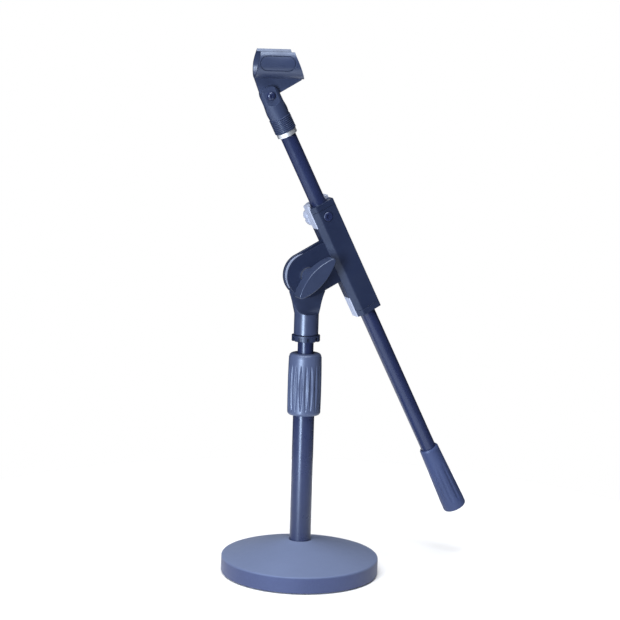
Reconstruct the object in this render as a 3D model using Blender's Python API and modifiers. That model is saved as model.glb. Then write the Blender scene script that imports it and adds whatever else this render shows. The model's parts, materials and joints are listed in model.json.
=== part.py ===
"""Desktop microphone stand: round cast base, two-tube mast with a height clutch, tilting boom and mic clip.

Run with: blender --background --python part.py
Units are metres. +Z is up, the mast stands on the origin, the boom tilts in the XZ plane with its
microphone end towards -X, and the tilt knob faces -Y.
"""

import math

import bmesh
import bpy
from mathutils import Matrix, Vector

# ---------------------------------------------------------------- driving dimensions (metres, degrees)
GAP = 0.0003                # air between pieces that touch
FULL_TURN = 2 * math.pi

BASE_RADIUS = 0.080
BASE_RIM_HEIGHT = 0.0178
BASE_CROWN_HEIGHT = 0.0344
BASE_BOSS_FLOOR = 0.011     # underside of the boss that takes the mast bolt
SOCKET_FLOOR = 0.017        # bottom of the socket that the mast stands in
PAD_RADIUS = 0.0765
PAD_THICKNESS = 0.0020

OUTER_TUBE_RADIUS = 0.0108
OUTER_TUBE_BORE = 0.0096
OUTER_TUBE_TOP = 0.198
INNER_TUBE_RADIUS = 0.0080
INNER_TUBE_BORE = 0.0069
INNER_TUBE_BOTTOM = 0.052
INNER_TUBE_TOP = 0.250

CLUTCH_BOTTOM = 0.1647
CLUTCH_TOP = 0.2270
CLUTCH_RADIUS = 0.0171
FLUTE_COUNT = 20
COLLET_BOTTOM = 0.2033
COLLET_TOP = 0.2190

RING_BOTTOM = 0.2395
RING_TOP = 0.2455
RING_RADIUS = 0.0143
NECK_RADIUS = 0.01235
NECK_CONE_START = 0.267
NECK_CONE_TOP = 0.289
NECK_CONE_RADIUS = 0.0190

TILT_HEIGHT = 0.306         # height of the tilt axis above the table
TILT_OFFSET = -0.0020       # tilt axis from the mast axis, along X
BOOM_TILT = 27.5            # boom from vertical, degrees
EAR_RADIUS = 0.0220
EAR_INNER = 0.0041          # inner faces of the ears, from the mast's middle plane
FRONT_EAR_THICKNESS = 0.0028
BACK_EAR_THICKNESS = 0.0035
TONGUE_THICKNESS = 0.0026
DISC_THICKNESS = 0.0022
TILT_BOLT_RADIUS = 0.0040

BOOM_OFFSET = 0.0428        # tilt axis to boom axis, across the boom
BOOM_FORWARD = 0.0012       # boom axis in front of the mast's middle plane
BOOM_RADIUS = 0.00785
BOOM_BORE = 0.00665
BOOM_TOP = 0.1346           # ends of the tube, from the foot of the perpendicular off the tilt axis
BOOM_BOTTOM = -0.2983
SLEEVE_HALF_LENGTH = 0.0615
SLEEVE_CENTRE = -0.0024     # middle of the sleeve, up the boom
SLEEVE_LEFT = -0.01425      # section of the sleeve, from the boom axis
SLEEVE_RIGHT = 0.0126
SLEEVE_SIDE_HALF = 0.0060   # half depth of the side that faces the mast
SLEEVE_FLAT_LEFT = -0.0078  # where the chamfer meets the front and back faces
SLEEVE_HALF_DEPTH = 0.0110
END_CAP_LENGTH = 0.0057
BUSH_LENGTH = 0.0220
BUSH_RISE = 0.0028          # upper bush above the end cap
FLANK_THICKNESS = 0.0022    # side wall of a bush that wraps round to the front half
FLANK_REACH = 0.0063
SLEEVE_BORE = 0.0093
LINER_RADIUS = 0.0090
LINER_BORE = 0.00815
LOCK_HEIGHT = 0.0446        # lock knob and pressure screw, up the boom

KNOB_ANGLE = 19.0           # wings of the tilt knob, from the line across the boom
KNOB_HALF_LENGTH = 0.0263
KNOB_HALF_WIDTH = 0.0080
KNOB_FRONT = 0.0310
KNOB_WING_BACK = 0.0160
LOCK_KNOB_RADIUS = 0.0130

GRIP_TOP = -0.2305
GRIP_BOTTOM = -0.3046
TIP_RING_RADIUS = 0.0102
TIP_RING_LENGTH = 0.0044

CLIP_TURN = -14.0           # clip base on its thread, about the boom
CLIP_PIVOT = 0.1786         # pivot of the jaw, up the boom
COLLAR_RADIUS = 0.0112
COLLAR_RIBS = 6
RIB_PITCH = 0.0024
FORK_HALF_WIDTH = 0.0094
FORK_SLOT = 0.0096
FORK_DEPTH = 0.0096         # half depth of the fork along the pivot
PIVOT_RADIUS = 0.0025
JAW_RADIUS = 0.0164
JAW_BORE = 0.0133
JAW_CENTRE = 0.0322         # centre of the cradle above the pivot
JAW_OPENING = 48.0          # half angle of the slot at the top, degrees

# ---------------------------------------------------------------- scene and materials


def clear_scene():
    for obj in list(bpy.data.objects):
        bpy.data.objects.remove(obj, do_unlink=True)


def new_collection(name, hidden=False):
    collection = bpy.data.collections.new(name)
    bpy.context.scene.collection.children.link(collection)
    collection.hide_render = hidden
    return collection


def material(name, color, roughness, metallic=0.0):
    made = bpy.data.materials.new(name)
    made.use_nodes = True
    shader = made.node_tree.nodes["Principled BSDF"]
    shader.inputs["Base Color"].default_value = (*color, 1.0)
    shader.inputs["Roughness"].default_value = roughness
    shader.inputs["Metallic"].default_value = metallic
    return made


clear_scene()
PARTS = new_collection("desktop_mic_stand")
CUTTERS = new_collection("cutters", hidden=True)

CAST = material("cast_paint", (0.060, 0.075, 0.130), 0.55)
TUBE = material("tube_paint", (0.020, 0.027, 0.070), 0.30)
PLASTIC = material("dark_plastic", (0.035, 0.045, 0.090), 0.45)
KNOB = material("knob_plastic", (0.050, 0.065, 0.120), 0.40)
NYLON = material("grey_nylon", (0.45, 0.47, 0.52), 0.50)
STEEL = material("zinc_steel", (0.60, 0.61, 0.63), 0.30, 1.0)
BRASS = material("brass", (0.70, 0.55, 0.28), 0.30, 1.0)
RUBBER = material("rubber", (0.030, 0.030, 0.033), 0.85)

# ---------------------------------------------------------------- frames: one empty on each joint axis
FRONTAL = Matrix.Rotation(math.radians(90), 4, "X")     # local Z to -Y, local Y to +Z
REARWARD = Matrix.Rotation(math.radians(-90), 4, "X")   # local Z to +Y, local Y to -Z


def frame(name, parent=None, matrix=Matrix.Identity(4)):
    empty = bpy.data.objects.new(name, None)
    empty.empty_display_size = 0.02
    PARTS.objects.link(empty)
    empty.parent = parent
    empty.matrix_local = matrix
    return empty


def jaw_matrix():
    """The jaw in the clip base's frame: cradle level with the table, pivot along its local Y."""
    lean = Matrix.Rotation(math.radians(-BOOM_TILT), 3, "Y")
    turn = Matrix.Rotation(math.radians(CLIP_TURN), 3, "Z")
    base = lean @ turn
    pivot = base @ Vector((0, 1, 0))
    level = pivot.cross(Vector((0, 0, 1))).normalized()
    upright = level.cross(pivot)
    world = Matrix((level, pivot, upright)).transposed()
    return Matrix.Translation((0, 0, CLIP_PIVOT)) @ (base.inverted() @ world).to_4x4()


MAST_AXIS = frame("mast_axis")
TILT_AXIS = frame(
    "tilt_axis",
    MAST_AXIS,
    Matrix.Translation((TILT_OFFSET, 0, TILT_HEIGHT)) @ Matrix.Rotation(math.radians(-BOOM_TILT), 4, "Y"),
)
BOOM_AXIS = frame("boom_axis", TILT_AXIS, Matrix.Translation((BOOM_OFFSET, -BOOM_FORWARD, 0)))
SLEEVE = frame("sleeve", BOOM_AXIS, Matrix.Translation((0, 0, SLEEVE_CENTRE)))
CLIP_AXIS = frame("clip_axis", BOOM_AXIS, Matrix.Rotation(math.radians(CLIP_TURN), 4, "Z"))
JAW_AXIS = frame("jaw_axis", CLIP_AXIS, jaw_matrix())
LOCK_AXIS = frame("lock_axis", BOOM_AXIS, Matrix.Translation((0, 0, LOCK_HEIGHT)))

# ---------------------------------------------------------------- modelling helpers


def add_object(name, data, parent, matrix, look, cutter=False):
    obj = bpy.data.objects.new(name, data)
    (CUTTERS if cutter else PARTS).objects.link(obj)
    obj.parent = parent
    obj.matrix_local = matrix
    if cutter:
        obj.hide_render = True
        obj.display_type = "WIRE"
    else:
        data.materials.append(look)
    return obj


def weld_and_clean(mesh):
    """Makes one closed mesh with flat faces whole and smooth faces marked."""
    work = bmesh.new()
    work.from_mesh(mesh)
    bmesh.ops.remove_doubles(work, verts=work.verts, dist=1e-6)
    bmesh.ops.dissolve_limit(work, angle_limit=math.radians(0.5), verts=work.verts, edges=work.edges)
    bmesh.ops.recalc_face_normals(work, faces=work.faces)
    work.to_mesh(mesh)
    work.free()
    mesh.shade_smooth()
    mesh.set_sharp_from_angle(angle=math.radians(35))


def turned(name, profile, parent=MAST_AXIS, look=None, steps=32, ring=False, matrix=None, cutter=False):
    """Turns (radius, height) points about local Z. The points run down the outer side."""
    mesh = bpy.data.meshes.new(name)
    points = [(radius, 0.0, height) for radius, height in profile]
    edges = [(i, i + 1) for i in range(len(points) - 1)]
    if ring:
        edges.append((len(points) - 1, 0))
    mesh.from_pydata(points, edges, [])
    obj = add_object(name, mesh, parent, matrix or Matrix.Identity(4), look, cutter)
    screw = obj.modifiers.new("turn", "SCREW")
    screw.steps = steps
    screw.render_steps = steps
    screw.use_merge_vertices = True
    screw.merge_threshold = 1e-6
    screw.use_smooth_shade = True
    return obj


def tube_profile(outer, inner, bottom, top, chamfer=0.0):
    if not chamfer:
        return [(outer, top), (outer, bottom), (inner, bottom), (inner, top)]
    return [
        (outer - chamfer, top),
        (outer, top - chamfer),
        (outer, bottom + chamfer),
        (outer - chamfer, bottom),
        (inner, bottom),
        (inner, top),
    ]


def rod_profile(radius, bottom, top, chamfer=0.0):
    if not chamfer:
        return [(0, top), (radius, top), (radius, bottom), (0, bottom)]
    return [
        (0, top),
        (radius - chamfer, top),
        (radius, top - chamfer),
        (radius, bottom + chamfer),
        (radius - chamfer, bottom),
        (0, bottom),
    ]


def arc(centre_x, centre_y, radius, start, end, count):
    """Points along an arc, angles in degrees."""
    angles = [math.radians(start + (end - start) * i / count) for i in range(count + 1)]
    return [(centre_x + radius * math.cos(a), centre_y + radius * math.sin(a)) for a in angles]


def plate(name, outline, low, high, parent, look=None, matrix=None, bevel=0.0, cutter=False):
    """Extrudes a flat outline in local XY from height low to height high."""
    curve = bpy.data.curves.new(name, "CURVE")
    curve.dimensions = "2D"
    curve.fill_mode = "BOTH"
    curve.extrude = (high - low) / 2
    spline = curve.splines.new("POLY")
    spline.points.add(len(outline) - 1)
    for point, (x, y) in zip(spline.points, outline):
        point.co = (x, y, 0, 1)
    spline.use_cyclic_u = True
    guide = bpy.data.objects.new(name + "_outline", curve)
    CUTTERS.objects.link(guide)
    graph = bpy.context.evaluated_depsgraph_get()
    mesh = bpy.data.meshes.new_from_object(guide.evaluated_get(graph))
    bpy.data.objects.remove(guide, do_unlink=True)
    mesh.name = name
    mesh.transform(Matrix.Translation((0, 0, (high + low) / 2)))
    weld_and_clean(mesh)
    mesh.materials.clear()
    obj = add_object(name, mesh, parent, matrix or Matrix.Identity(4), look, cutter)
    if bevel:
        round_edges(obj, bevel)
    return obj


def box_mesh(name, low, high):
    mesh = bpy.data.meshes.new(name)
    work = bmesh.new()
    size = Vector(high) - Vector(low)
    place = Matrix.Translation((Vector(high) + Vector(low)) / 2) @ Matrix.Diagonal((*size, 1))
    bmesh.ops.create_cube(work, size=1, matrix=place)
    work.to_mesh(mesh)
    work.free()
    return mesh


def box_cutter(name, low, high, parent):
    """A cutter between two corners."""
    return add_object(name, box_mesh(name, low, high), parent, Matrix.Identity(4), None, cutter=True)


def round_edges(obj, width, segments=2):
    bevel = obj.modifiers.new("edges", "BEVEL")
    bevel.width = width
    bevel.segments = segments
    bevel.limit_method = "ANGLE"
    bevel.angle_limit = math.radians(35)
    bevel.harden_normals = False


def boolean(obj, other, operation):
    step = obj.modifiers.new(operation.lower() + "_" + other.name, "BOOLEAN")
    step.operation = operation
    step.solver = "EXACT"
    step.object = other


def cut(obj, *others):
    for other in others:
        boolean(obj, other, "DIFFERENCE")


def unite(obj, *others):
    for other in others:
        boolean(obj, other, "UNION")


def keep_inside(obj, other):
    boolean(obj, other, "INTERSECT")


def drill(name, radius, low, high, parent, matrix=None, steps=24):
    """A round cutter along local Z."""
    return turned(name, rod_profile(radius, low, high), parent, steps=steps, matrix=matrix, cutter=True)


def polar_copies(source, name, count, parent, start=0.0):
    """One cutter mesh holding copies of a closed mesh, spaced round local Z."""
    mesh = bpy.data.meshes.new(name)
    work = bmesh.new()
    for i in range(count):
        turn = Matrix.Rotation(math.radians(start) + FULL_TURN * i / count, 4, "Z")
        copy = source.copy()
        copy.transform(turn)
        work.from_mesh(copy)
        bpy.data.meshes.remove(copy)
    work.to_mesh(mesh)
    work.free()
    return add_object(name, mesh, parent, Matrix.Identity(4), None, cutter=True)


def hexagon(across_flats):
    return arc(0, 0, across_flats / 2 / math.cos(math.radians(30)), 0, 300, 5)


# ---------------------------------------------------------------- base and outer mast


def make_base():
    rim = BASE_RIM_HEIGHT
    fillet = 0.0024
    turned("base_pad", rod_profile(PAD_RADIUS, 0.0, PAD_THICKNESS, 0.0006), look=RUBBER, steps=40)
    rounded_rim = arc(BASE_RADIUS - fillet, rim - fillet, fillet, 76, 0, 2)
    turned(
        "base_casting",
        [
            (OUTER_TUBE_RADIUS + GAP, BASE_CROWN_HEIGHT),
            (0.0165, BASE_CROWN_HEIGHT - 0.0012),
            (0.0480, 0.0262),
            *rounded_rim,
            (BASE_RADIUS, 0.0018),
            (BASE_RADIUS - 0.0010, 0.0008),
            (PAD_RADIUS + GAP, 0.0008),
            (PAD_RADIUS + GAP, PAD_THICKNESS + GAP),
            (0.0700, PAD_THICKNESS + GAP),
            (0.0660, 0.0075),
            (0.0280, 0.0150),
            (0.0240, BASE_BOSS_FLOOR),
            (0.0054, BASE_BOSS_FLOOR),
            (0.0054, SOCKET_FLOOR),
            (OUTER_TUBE_RADIUS + GAP, SOCKET_FLOOR),
        ],
        look=CAST,
        steps=40,
        ring=True,
    )
    washer_bottom = BASE_BOSS_FLOOR - GAP - 0.0020
    turned(
        "base_washer",
        tube_profile(0.0120, 0.0054, washer_bottom, BASE_BOSS_FLOOR - GAP),
        look=STEEL,
        steps=24,
        ring=True,
    )
    head_top = washer_bottom - GAP
    bolt = plate("base_bolt", hexagon(0.017), head_top - 0.0058, head_top, MAST_AXIS, STEEL)
    shank = drill("base_bolt_shank", 0.0050, head_top - 0.001, 0.0325, MAST_AXIS)
    unite(bolt, shank)


def make_outer_mast():
    turned(
        "foot_plug",
        tube_profile(OUTER_TUBE_BORE - GAP, 0.0054, SOCKET_FLOOR + GAP, 0.0340),
        look=STEEL,
        steps=24,
        ring=True,
    )
    turned(
        "outer_tube",
        tube_profile(OUTER_TUBE_RADIUS, OUTER_TUBE_BORE, SOCKET_FLOOR + GAP, OUTER_TUBE_TOP, 0.0004),
        look=TUBE,
        ring=True,
    )
    seat_bore = INNER_TUBE_RADIUS + 0.0006
    turned(
        "clutch_body",
        [
            (0.0126, COLLET_BOTTOM - GAP),
            (0.0132, COLLET_BOTTOM - GAP - 0.0006),
            (0.0132, 0.1710),
            (OUTER_TUBE_RADIUS + GAP, 0.1710),
            (OUTER_TUBE_RADIUS + GAP, OUTER_TUBE_TOP + GAP),
            (seat_bore, OUTER_TUBE_TOP + GAP),
            (seat_bore, COLLET_BOTTOM - GAP),
        ],
        look=STEEL,
        ring=True,
    )


def make_clutch():
    collet = turned(
        "clutch_collet",
        [
            (0.0104, COLLET_TOP),
            (0.0126, COLLET_BOTTOM + 0.0040),
            (0.0126, COLLET_BOTTOM),
            (INNER_TUBE_RADIUS + GAP, COLLET_BOTTOM),
            (INNER_TUBE_RADIUS + GAP, COLLET_TOP),
        ],
        look=NYLON,
        ring=True,
    )
    slit = box_cutter("collet_slit", (0.004, -0.0008, 0.200), (0.016, 0.0008, 0.225), MAST_AXIS)
    cut(collet, slit)

    top_edge = arc(CLUTCH_RADIUS - 0.0040, CLUTCH_TOP - 0.0030, 0.0030, 90, 0, 4)
    grip = turned(
        "clutch_grip",
        [
            *top_edge,
            (CLUTCH_RADIUS - 0.0002, 0.2000),
            (CLUTCH_RADIUS, 0.1820),
            (CLUTCH_RADIUS - 0.0002, 0.1672),
            (CLUTCH_RADIUS - 0.0012, CLUTCH_BOTTOM),
            (OUTER_TUBE_RADIUS + 0.0005, CLUTCH_BOTTOM),
            (OUTER_TUBE_RADIUS + 0.0005, 0.1700),
            (0.0137, 0.1706),
            (0.0137, COLLET_BOTTOM + 0.0035),
            (0.0110, COLLET_TOP + 0.0005),
            (INNER_TUBE_RADIUS + 0.0007, COLLET_TOP + 0.0005),
            (INNER_TUBE_RADIUS + 0.0007, CLUTCH_TOP),
        ],
        look=PLASTIC,
        ring=True,
    )
    flute = bpy.data.meshes.new("flute")
    work = bmesh.new()
    long_diamond = Matrix.Translation((CLUTCH_RADIUS + 0.0004, 0, 0.1925))
    bmesh.ops.create_uvsphere(work, u_segments=4, v_segments=2, radius=1)
    bmesh.ops.transform(
        work, matrix=long_diamond @ Matrix.Diagonal((0.0015, 0.0014, 0.0230, 1)), verts=work.verts
    )
    work.to_mesh(flute)
    work.free()
    flutes = polar_copies(flute, "clutch_flutes", FLUTE_COUNT, MAST_AXIS)
    cut(grip, flutes)


# ---------------------------------------------------------------- sliding mast and neck


def make_inner_mast():
    turned(
        "inner_tube",
        tube_profile(INNER_TUBE_RADIUS, INNER_TUBE_BORE, INNER_TUBE_BOTTOM, INNER_TUBE_TOP),
        look=TUBE,
        ring=True,
    )
    turned(
        "tube_guide",
        [
            (INNER_TUBE_BORE - GAP, INNER_TUBE_BOTTOM + 0.008),
            (INNER_TUBE_BORE - GAP, INNER_TUBE_BOTTOM - GAP),
            (OUTER_TUBE_BORE - GAP, INNER_TUBE_BOTTOM - GAP),
            (OUTER_TUBE_BORE - GAP, INNER_TUBE_BOTTOM - 0.006),
            (0.0030, INNER_TUBE_BOTTOM - 0.006),
            (0.0030, INNER_TUBE_BOTTOM + 0.008),
        ],
        look=NYLON,
        steps=24,
        ring=True,
    )
    turned("neck_stud", rod_profile(INNER_TUBE_BORE - GAP, 0.232, 0.262, 0.0005), look=STEEL, steps=24)

    ring = turned(
        "lock_ring",
        tube_profile(RING_RADIUS, INNER_TUBE_RADIUS + GAP, RING_BOTTOM, RING_TOP, 0.0005),
        look=PLASTIC,
        ring=True,
    )
    notch = box_mesh("notch", (0.0122, -0.0019, RING_BOTTOM - 0.001), (0.016, 0.0019, RING_BOTTOM + 0.0042))
    notches = polar_copies(notch, "ring_notches", 10, MAST_AXIS, start=-100)
    cut(ring, notches)


def make_neck():
    bore = INNER_TUBE_RADIUS + GAP
    bottom = RING_TOP + GAP
    neck = turned(
        "swivel_neck",
        [
            (0, TILT_HEIGHT - 0.006),
            (NECK_CONE_RADIUS - 0.001, TILT_HEIGHT - 0.006),
            (NECK_CONE_RADIUS, NECK_CONE_TOP),
            (NECK_RADIUS, NECK_CONE_START),
            (NECK_RADIUS, bottom + 0.0006),
            (NECK_RADIUS - 0.0006, bottom),
            (bore, bottom),
            (bore, INNER_TUBE_TOP + GAP),
            (INNER_TUBE_BORE, INNER_TUBE_TOP + GAP),
            (INNER_TUBE_BORE, 0.2625),
            (0, 0.2625),
        ],
        look=CAST,
    )
    half = TONGUE_THICKNESS / 2
    scoop_top = TILT_HEIGHT - EAR_RADIUS + 0.0005
    scoop = [
        (
            NECK_RADIUS + 0.0002 - (NECK_RADIUS - half) * math.sin(math.radians(angle)),
            scoop_top - (scoop_top - NECK_CONE_START) * math.cos(math.radians(angle)),
        )
        for angle in range(0, 91, 15)
    ]
    head_top = TILT_HEIGHT + 0.001
    right = [(0.030, 0.240), (0.030, NECK_CONE_START), *scoop, (half, head_top)]
    left = [(-y, z) for y, z in reversed(right)]
    side_on = Matrix(((0, 0, 1, 0), (1, 0, 0, 0), (0, 1, 0, 0), (0, 0, 0, 1)))
    envelope = plate(
        "neck_envelope", right + left, -0.030, 0.030, MAST_AXIS, matrix=side_on, cutter=True
    )
    keep_inside(neck, envelope)
    at_tilt = Matrix.Translation((TILT_OFFSET, 0, TILT_HEIGHT)) @ FRONTAL
    head = drill("tongue_head", EAR_RADIUS - 0.0028, -half, half, MAST_AXIS, at_tilt, 32)
    hole = drill("tongue_hole", TILT_BOLT_RADIUS + 0.0004, -0.02, 0.02, MAST_AXIS, at_tilt)
    unite(neck, head)
    cut(neck, hole)

    inner = half + GAP
    for name, side in (("front_friction_disc", FRONTAL), ("rear_friction_disc", REARWARD)):
        turned(
            name,
            tube_profile(
                EAR_RADIUS - 0.0008, TILT_BOLT_RADIUS + 0.0004, inner, inner + DISC_THICKNESS, 0.0003
            ),
            look=NYLON,
            ring=True,
            matrix=Matrix.Translation((TILT_OFFSET, 0, TILT_HEIGHT)) @ side,
        )


# ---------------------------------------------------------------- boom holder
LINER_HALF_LENGTH = SLEEVE_HALF_LENGTH - END_CAP_LENGTH - GAP
BACK_HALF_LENGTH = SLEEVE_HALF_LENGTH - BUSH_LENGTH - GAP
CAP_SCREW = (0.0090, -0.0076)


def half_section(side):
    """Half of the sleeve's section, in front of (-1) or behind (+1) its parting line."""
    points = [
        (SLEEVE_LEFT, GAP / 2),
        (SLEEVE_LEFT, SLEEVE_SIDE_HALF),
        (SLEEVE_FLAT_LEFT, SLEEVE_HALF_DEPTH),
        (SLEEVE_RIGHT, SLEEVE_HALF_DEPTH),
        (SLEEVE_RIGHT, GAP / 2),
    ]
    return [(x, side * y) for x, y in points]


def bush_section():
    """The back half of the section, with a flank that wraps round the side facing the mast."""
    outline = half_section(1)
    inner = SLEEVE_LEFT + FLANK_THICKNESS
    return [
        (SLEEVE_LEFT + 0.0006, -FLANK_REACH),
        (SLEEVE_LEFT, -FLANK_REACH + 0.0006),
        *outline[1:],
        (inner, GAP / 2),
        (inner, -FLANK_REACH),
    ]


def flank_pocket(name, low, high):
    """Room in the front half for the flank of a bush."""
    return box_cutter(
        name,
        (SLEEVE_LEFT - 0.002, -FLANK_REACH - GAP, low),
        (SLEEVE_LEFT + FLANK_THICKNESS + GAP, 0.002, high),
        SLEEVE,
    )


def ear(name, thickness, matrix):
    """Round about the tilt axis, then straight into the wall of the sleeve."""
    reach = BOOM_OFFSET - 0.0090
    outline = [(reach, -EAR_RADIUS), (reach, EAR_RADIUS), *arc(0, 0, EAR_RADIUS, 90, 270, 20)]
    return plate(
        name, outline, EAR_INNER, EAR_INNER + thickness, TILT_AXIS, matrix=matrix, cutter=True
    )


def liner_bore(name):
    reach = LINER_HALF_LENGTH + GAP
    return drill(name, SLEEVE_BORE, -reach, reach, SLEEVE, steps=32)


def boom_hole(name):
    return drill(name, BOOM_RADIUS + 0.0006, -0.070, 0.070, SLEEVE, steps=32)


def bolt_hole(name):
    return drill(name, TILT_BOLT_RADIUS + GAP, -0.02, 0.02, TILT_AXIS, FRONTAL)


def make_holder_front():
    reach = LINER_HALF_LENGTH
    front = plate("holder_front", half_section(-1), -reach, reach, SLEEVE, PLASTIC, bevel=0.0006)
    unite(front, ear("front_ear", FRONT_EAR_THICKNESS, FRONTAL))
    recess_floor = SLEEVE_HALF_DEPTH - 0.0009
    cut(
        front,
        liner_bore("front_bore"),
        bolt_hole("front_ear_hole"),
        drill("screw_recess", 0.0052, recess_floor, 0.0200, LOCK_AXIS, FRONTAL),
        drill("screw_hole", 0.0026, 0.0050, 0.0160, LOCK_AXIS, FRONTAL),
        flank_pocket("upper_pocket", BACK_HALF_LENGTH, 0.070),
        flank_pocket("lower_pocket", -0.070, -BACK_HALF_LENGTH),
    )


def make_holder_back():
    back = plate(
        "holder_back", half_section(1), -BACK_HALF_LENGTH, BACK_HALF_LENGTH, SLEEVE, PLASTIC, bevel=0.0006
    )
    unite(back, ear("back_ear", BACK_EAR_THICKNESS, REARWARD))
    cut(back, liner_bore("back_bore"), bolt_hole("back_ear_hole"))


def make_bushes():
    """Nylon blocks that fill the back of the sleeve at each end."""
    inner = SLEEVE_HALF_LENGTH - BUSH_LENGTH
    top = SLEEVE_HALF_LENGTH + BUSH_RISE
    spans = (("upper_bush", inner, top), ("lower_bush", -SLEEVE_HALF_LENGTH, -inner))
    for name, low, high in spans:
        bush = plate(name, bush_section(), low, high, SLEEVE, NYLON, bevel=0.0005)
        cut(bush, liner_bore(name + "_bore"), boom_hole(name + "_hole"))
    lock_hole = drill("lock_hole", 0.0034, 0.0050, 0.030, LOCK_AXIS, REARWARD)
    cut(bpy.data.objects["upper_bush"], lock_hole)


def make_end_caps():
    """Caps that close the front of the sleeve's ends and keep the liner in, with their screws."""
    inner = SLEEVE_HALF_LENGTH - END_CAP_LENGTH
    spans = (("upper", inner, SLEEVE_HALF_LENGTH, 1), ("lower", -SLEEVE_HALF_LENGTH, -inner, -1))
    for end, low, high, sign in spans:
        cap = plate(end + "_end_cap", half_section(-1), low, high, SLEEVE, PLASTIC, bevel=0.0005)
        cut(cap, boom_hole(end + "_cap_hole"), flank_pocket(end + "_cap_pocket", -0.070, 0.070))
        out = Matrix.Rotation(0 if sign > 0 else math.pi, 4, "X")
        spot = Matrix.Translation((*CAP_SCREW, sign * SLEEVE_HALF_LENGTH)) @ out
        make_cap_screw(end + "_cap_screw", spot, cap)


def make_cap_screw(name, spot, cap):
    head = -0.0018 - GAP
    turned(
        name,
        [
            (0, -GAP),
            (0.0022, -GAP),
            (0.0026, -0.0007),
            (0.0026, head + GAP),
            (0.0013, head + GAP),
            (0.0013, -0.0130),
            (0, -0.0130),
        ],
        SLEEVE,
        STEEL,
        steps=16,
        matrix=spot,
    )
    shank = drill(name + "_shank_hole", 0.0016, -0.0140, 0.001, SLEEVE, spot, 16)
    counterbore = drill(name + "_head_hole", 0.0029, head, 0.001, SLEEVE, spot, 16)
    cut(cap, shank, counterbore)
    cut(bpy.data.objects["holder_front"], shank)


def make_pressure_screw():
    """The screw in the front of the sleeve that takes up play in the liner."""
    front = SLEEVE_HALF_DEPTH + 0.0006
    seat = SLEEVE_HALF_DEPTH - 0.0009 + GAP
    screw = turned(
        "pressure_screw",
        [
            (0, front),
            (0.0041, front),
            (0.0047, front - 0.0006),
            (0.0047, seat),
            (0.0022, seat),
            (0.0022, SLEEVE_BORE + GAP),
            (0, SLEEVE_BORE + GAP),
        ],
        LOCK_AXIS,
        STEEL,
        steps=24,
        matrix=FRONTAL,
    )
    socket = plate(
        "hex_socket", hexagon(0.0040), front - 0.0010, front + 0.001, LOCK_AXIS, matrix=FRONTAL, cutter=True
    )
    cut(screw, socket)


# ---------------------------------------------------------------- tilt bolt and its knob


def make_tilt_fastening():
    back = EAR_INNER + BACK_EAR_THICKNESS + GAP
    turned(
        "tilt_bolt",
        [
            (0, KNOB_FRONT - 0.0080),
            (TILT_BOLT_RADIUS, KNOB_FRONT - 0.0080),
            (TILT_BOLT_RADIUS, -back),
            (0.0085, -back),
            (0.0082, -back - 0.0014),
            (0.0050, -back - 0.0034),
            (0, -back - 0.0042),
        ],
        TILT_AXIS,
        STEEL,
        steps=24,
        matrix=FRONTAL,
    )
    face = EAR_INNER + FRONT_EAR_THICKNESS + GAP
    turned(
        "knob_washer",
        tube_profile(0.0088, TILT_BOLT_RADIUS + GAP, face, face + 0.0012),
        TILT_AXIS,
        STEEL,
        steps=24,
        ring=True,
        matrix=FRONTAL,
    )


def wing_outline():
    """A leaf: two shallow arcs that meet in small round tips."""
    tip = 0.0024
    reach = KNOB_HALF_LENGTH - tip
    bulge = KNOB_HALF_WIDTH - tip
    radius = (reach**2 + bulge**2) / (2 * bulge) + tip
    sweep = math.degrees(math.atan2(reach, radius - tip - bulge))
    upper = arc(0, KNOB_HALF_WIDTH - radius, radius, 90 - sweep, 90 + sweep, 8)
    left = arc(-reach, 0, tip, 90 + sweep, 270 - sweep, 4)
    lower = [(-x, -y) for x, y in upper]
    right = [(-x, -y) for x, y in left]
    return upper + left[1:-1] + lower + right[1:-1]


def make_wing_knob():
    turn = FRONTAL @ Matrix.Rotation(math.radians(KNOB_ANGLE), 4, "Z")
    back = EAR_INNER + FRONT_EAR_THICKNESS + GAP + 0.0012 + GAP
    knob = plate(
        "wing_knob", wing_outline(), KNOB_WING_BACK, KNOB_FRONT, TILT_AXIS, KNOB, turn, bevel=0.0012
    )
    boss = turned(
        "knob_boss",
        rod_profile(0.0085, back, KNOB_WING_BACK + 0.0060, 0.0005),
        TILT_AXIS,
        steps=24,
        matrix=turn,
        cutter=True,
    )
    unite(knob, boss)
    pocket = 0.0065
    cut(
        knob,
        drill("insert_pocket", 0.0064, back - 0.001, back + pocket, TILT_AXIS, turn),
        drill("bolt_pocket", TILT_BOLT_RADIUS + GAP, back - 0.001, KNOB_FRONT - 0.0070, TILT_AXIS, turn),
    )
    turned(
        "knob_insert",
        tube_profile(0.0061, TILT_BOLT_RADIUS + GAP, back, back + pocket - GAP),
        TILT_AXIS,
        BRASS,
        steps=24,
        ring=True,
        matrix=turn,
    )


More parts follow.
